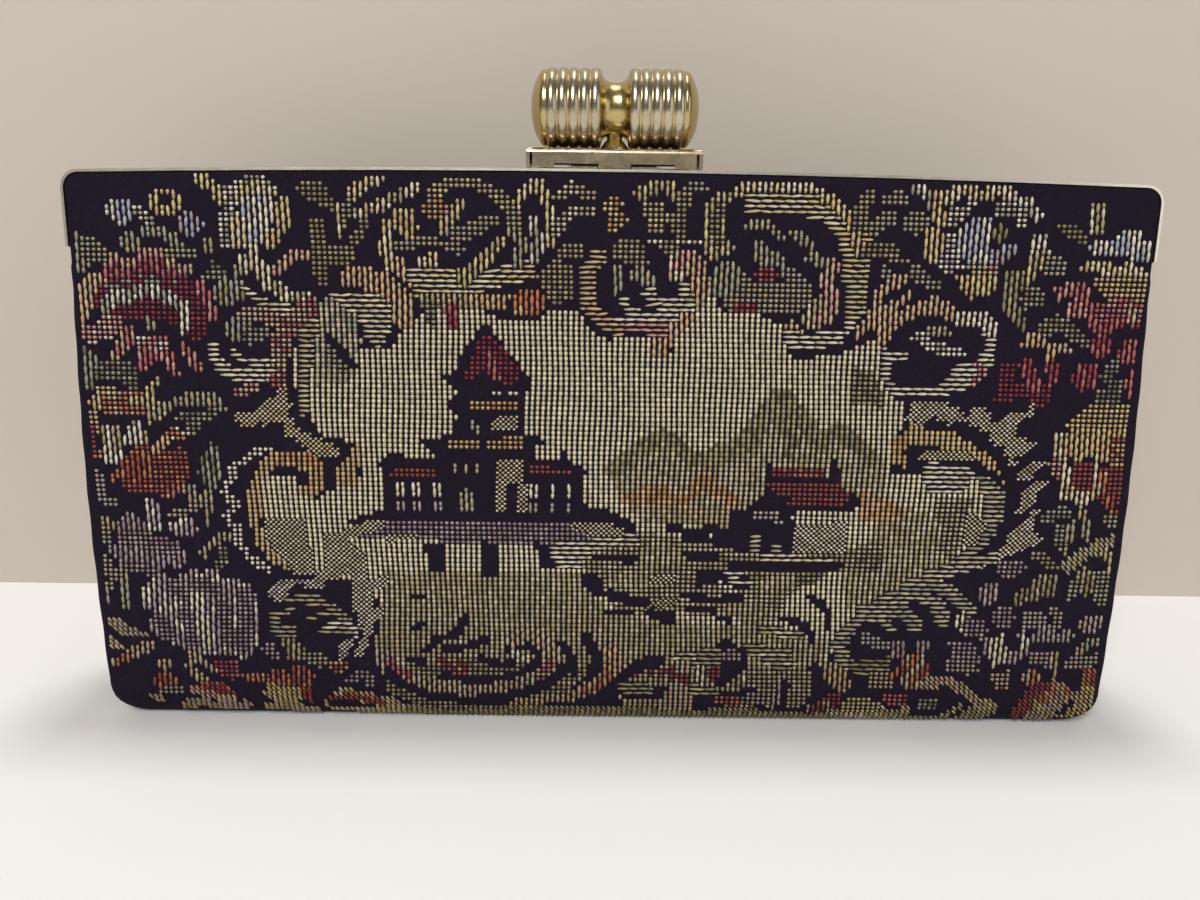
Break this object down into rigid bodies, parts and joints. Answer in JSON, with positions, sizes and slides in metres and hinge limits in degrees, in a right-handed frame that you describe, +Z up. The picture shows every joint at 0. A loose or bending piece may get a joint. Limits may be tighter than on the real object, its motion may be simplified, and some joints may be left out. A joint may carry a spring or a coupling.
{
  "type": "tapestry clutch",
  "caption": "Slim box clutch of woven tapestry over board, with a hinged covered frame and a ribbed barrel push clasp on top",
  "frame": {"origin": "centre of the base, on the table", "axes": "+X across the bag to its right end, -Y to the front panel, +Z up"},
  "size_m": [0.2076, 0.0338, 0.1298],
  "materials": {
    "frame_metal": "worn plate",
    "rivet_metal": "worn plate",
    "clasp_metal": "worn nickel plate",
    "barrel_metal": "worn plate over brass",
    "spring_steel": "bare",
    "black_ground": "woven ground",
    "black_faille": "ribbed",
    "lining_satin": "satin",
    "grey_board": "matte",
    "weft_sky": "raised weft",
    "weft_water": "raised weft",
    "weft_hill": "raised weft",
    "weft_terrace": "raised weft",
    "weft_roof": "raised weft",
    "weft_gilt": "raised weft",
    "weft_leaf": "raised weft",
    "weft_scroll": "raised weft",
    "weft_crimson": "raised weft",
    "weft_gold": "raised weft",
    "weft_lilac": "raised weft",
    "weft_blue": "raised weft"
  },
  "bodies": {
    "bag": {"rear_frame": "frame_metal", "hinge_rivets": "rivet_metal", "front_tapestry": "black_ground", "rear_tapestry": "black_ground", "front_board": "grey_board", "rear_board": "grey_board", "rear_top_card": "grey_board", "front_lining": "lining_satin", "rear_lining": "lining_satin", "gusset": "black_faille", "gusset_lining": "lining_satin", "base_board": "grey_board", "clasp_bracket": "clasp_metal", "clasp_pin": "rivet_metal", "catch_spring": "spring_steel", "front_sky_field": "weft_sky", "rear_sky_field": "weft_sky", "front_water_field": "weft_water", "rear_water_field": "weft_water", "front_hill_field": "weft_hill", "rear_hill_field": "weft_hill", "front_terrace_field": "weft_terrace", "rear_terrace_field": "weft_terrace", "front_roof_field": "weft_roof", "rear_roof_field": "weft_roof", "front_gilt_field": "weft_gilt", "rear_gilt_field": "weft_gilt", "front_leaf_field": "weft_leaf", "rear_leaf_field": "weft_leaf", "front_scroll_field": "weft_scroll", "rear_scroll_field": "weft_scroll", "front_crimson_field": "weft_crimson", "rear_crimson_field": "weft_crimson", "front_gold_field": "weft_gold", "rear_gold_field": "weft_gold", "front_lilac_field": "weft_lilac", "rear_lilac_field": "weft_lilac", "front_blue_field": "weft_blue", "rear_blue_field": "weft_blue"},
    "front_frame": {"front_frame": "frame_metal", "front_top_card": "grey_board", "strike_lugs": "clasp_metal"},
    "clasp": {"clasp_cap": "clasp_metal", "clasp_barrel": "barrel_metal", "barrel_stud": "barrel_metal"}
  },
  "joints": [
    {"name": "frame_hinge", "type": "hinge", "parent": "bag", "child": "front_frame", "pos_m": [0, 0, 0.0955], "axis": [1, 0, 0], "range_deg": [0, 70], "deforming": ["front_tapestry", "front_lining", "front_leaf_field", "front_scroll_field", "front_crimson_field", "front_blue_field", "catch_spring"]},
    {"name": "clasp_tilt", "type": "hinge", "parent": "bag", "child": "clasp", "pos_m": [0, 0.0034, 0.1129], "axis": [-1, 0, 0], "range_deg": [0, 33], "stiffness_Nm_per_rad": 0.05, "springref_deg": -5.73, "deforming": ["catch_spring"]}
  ]
}
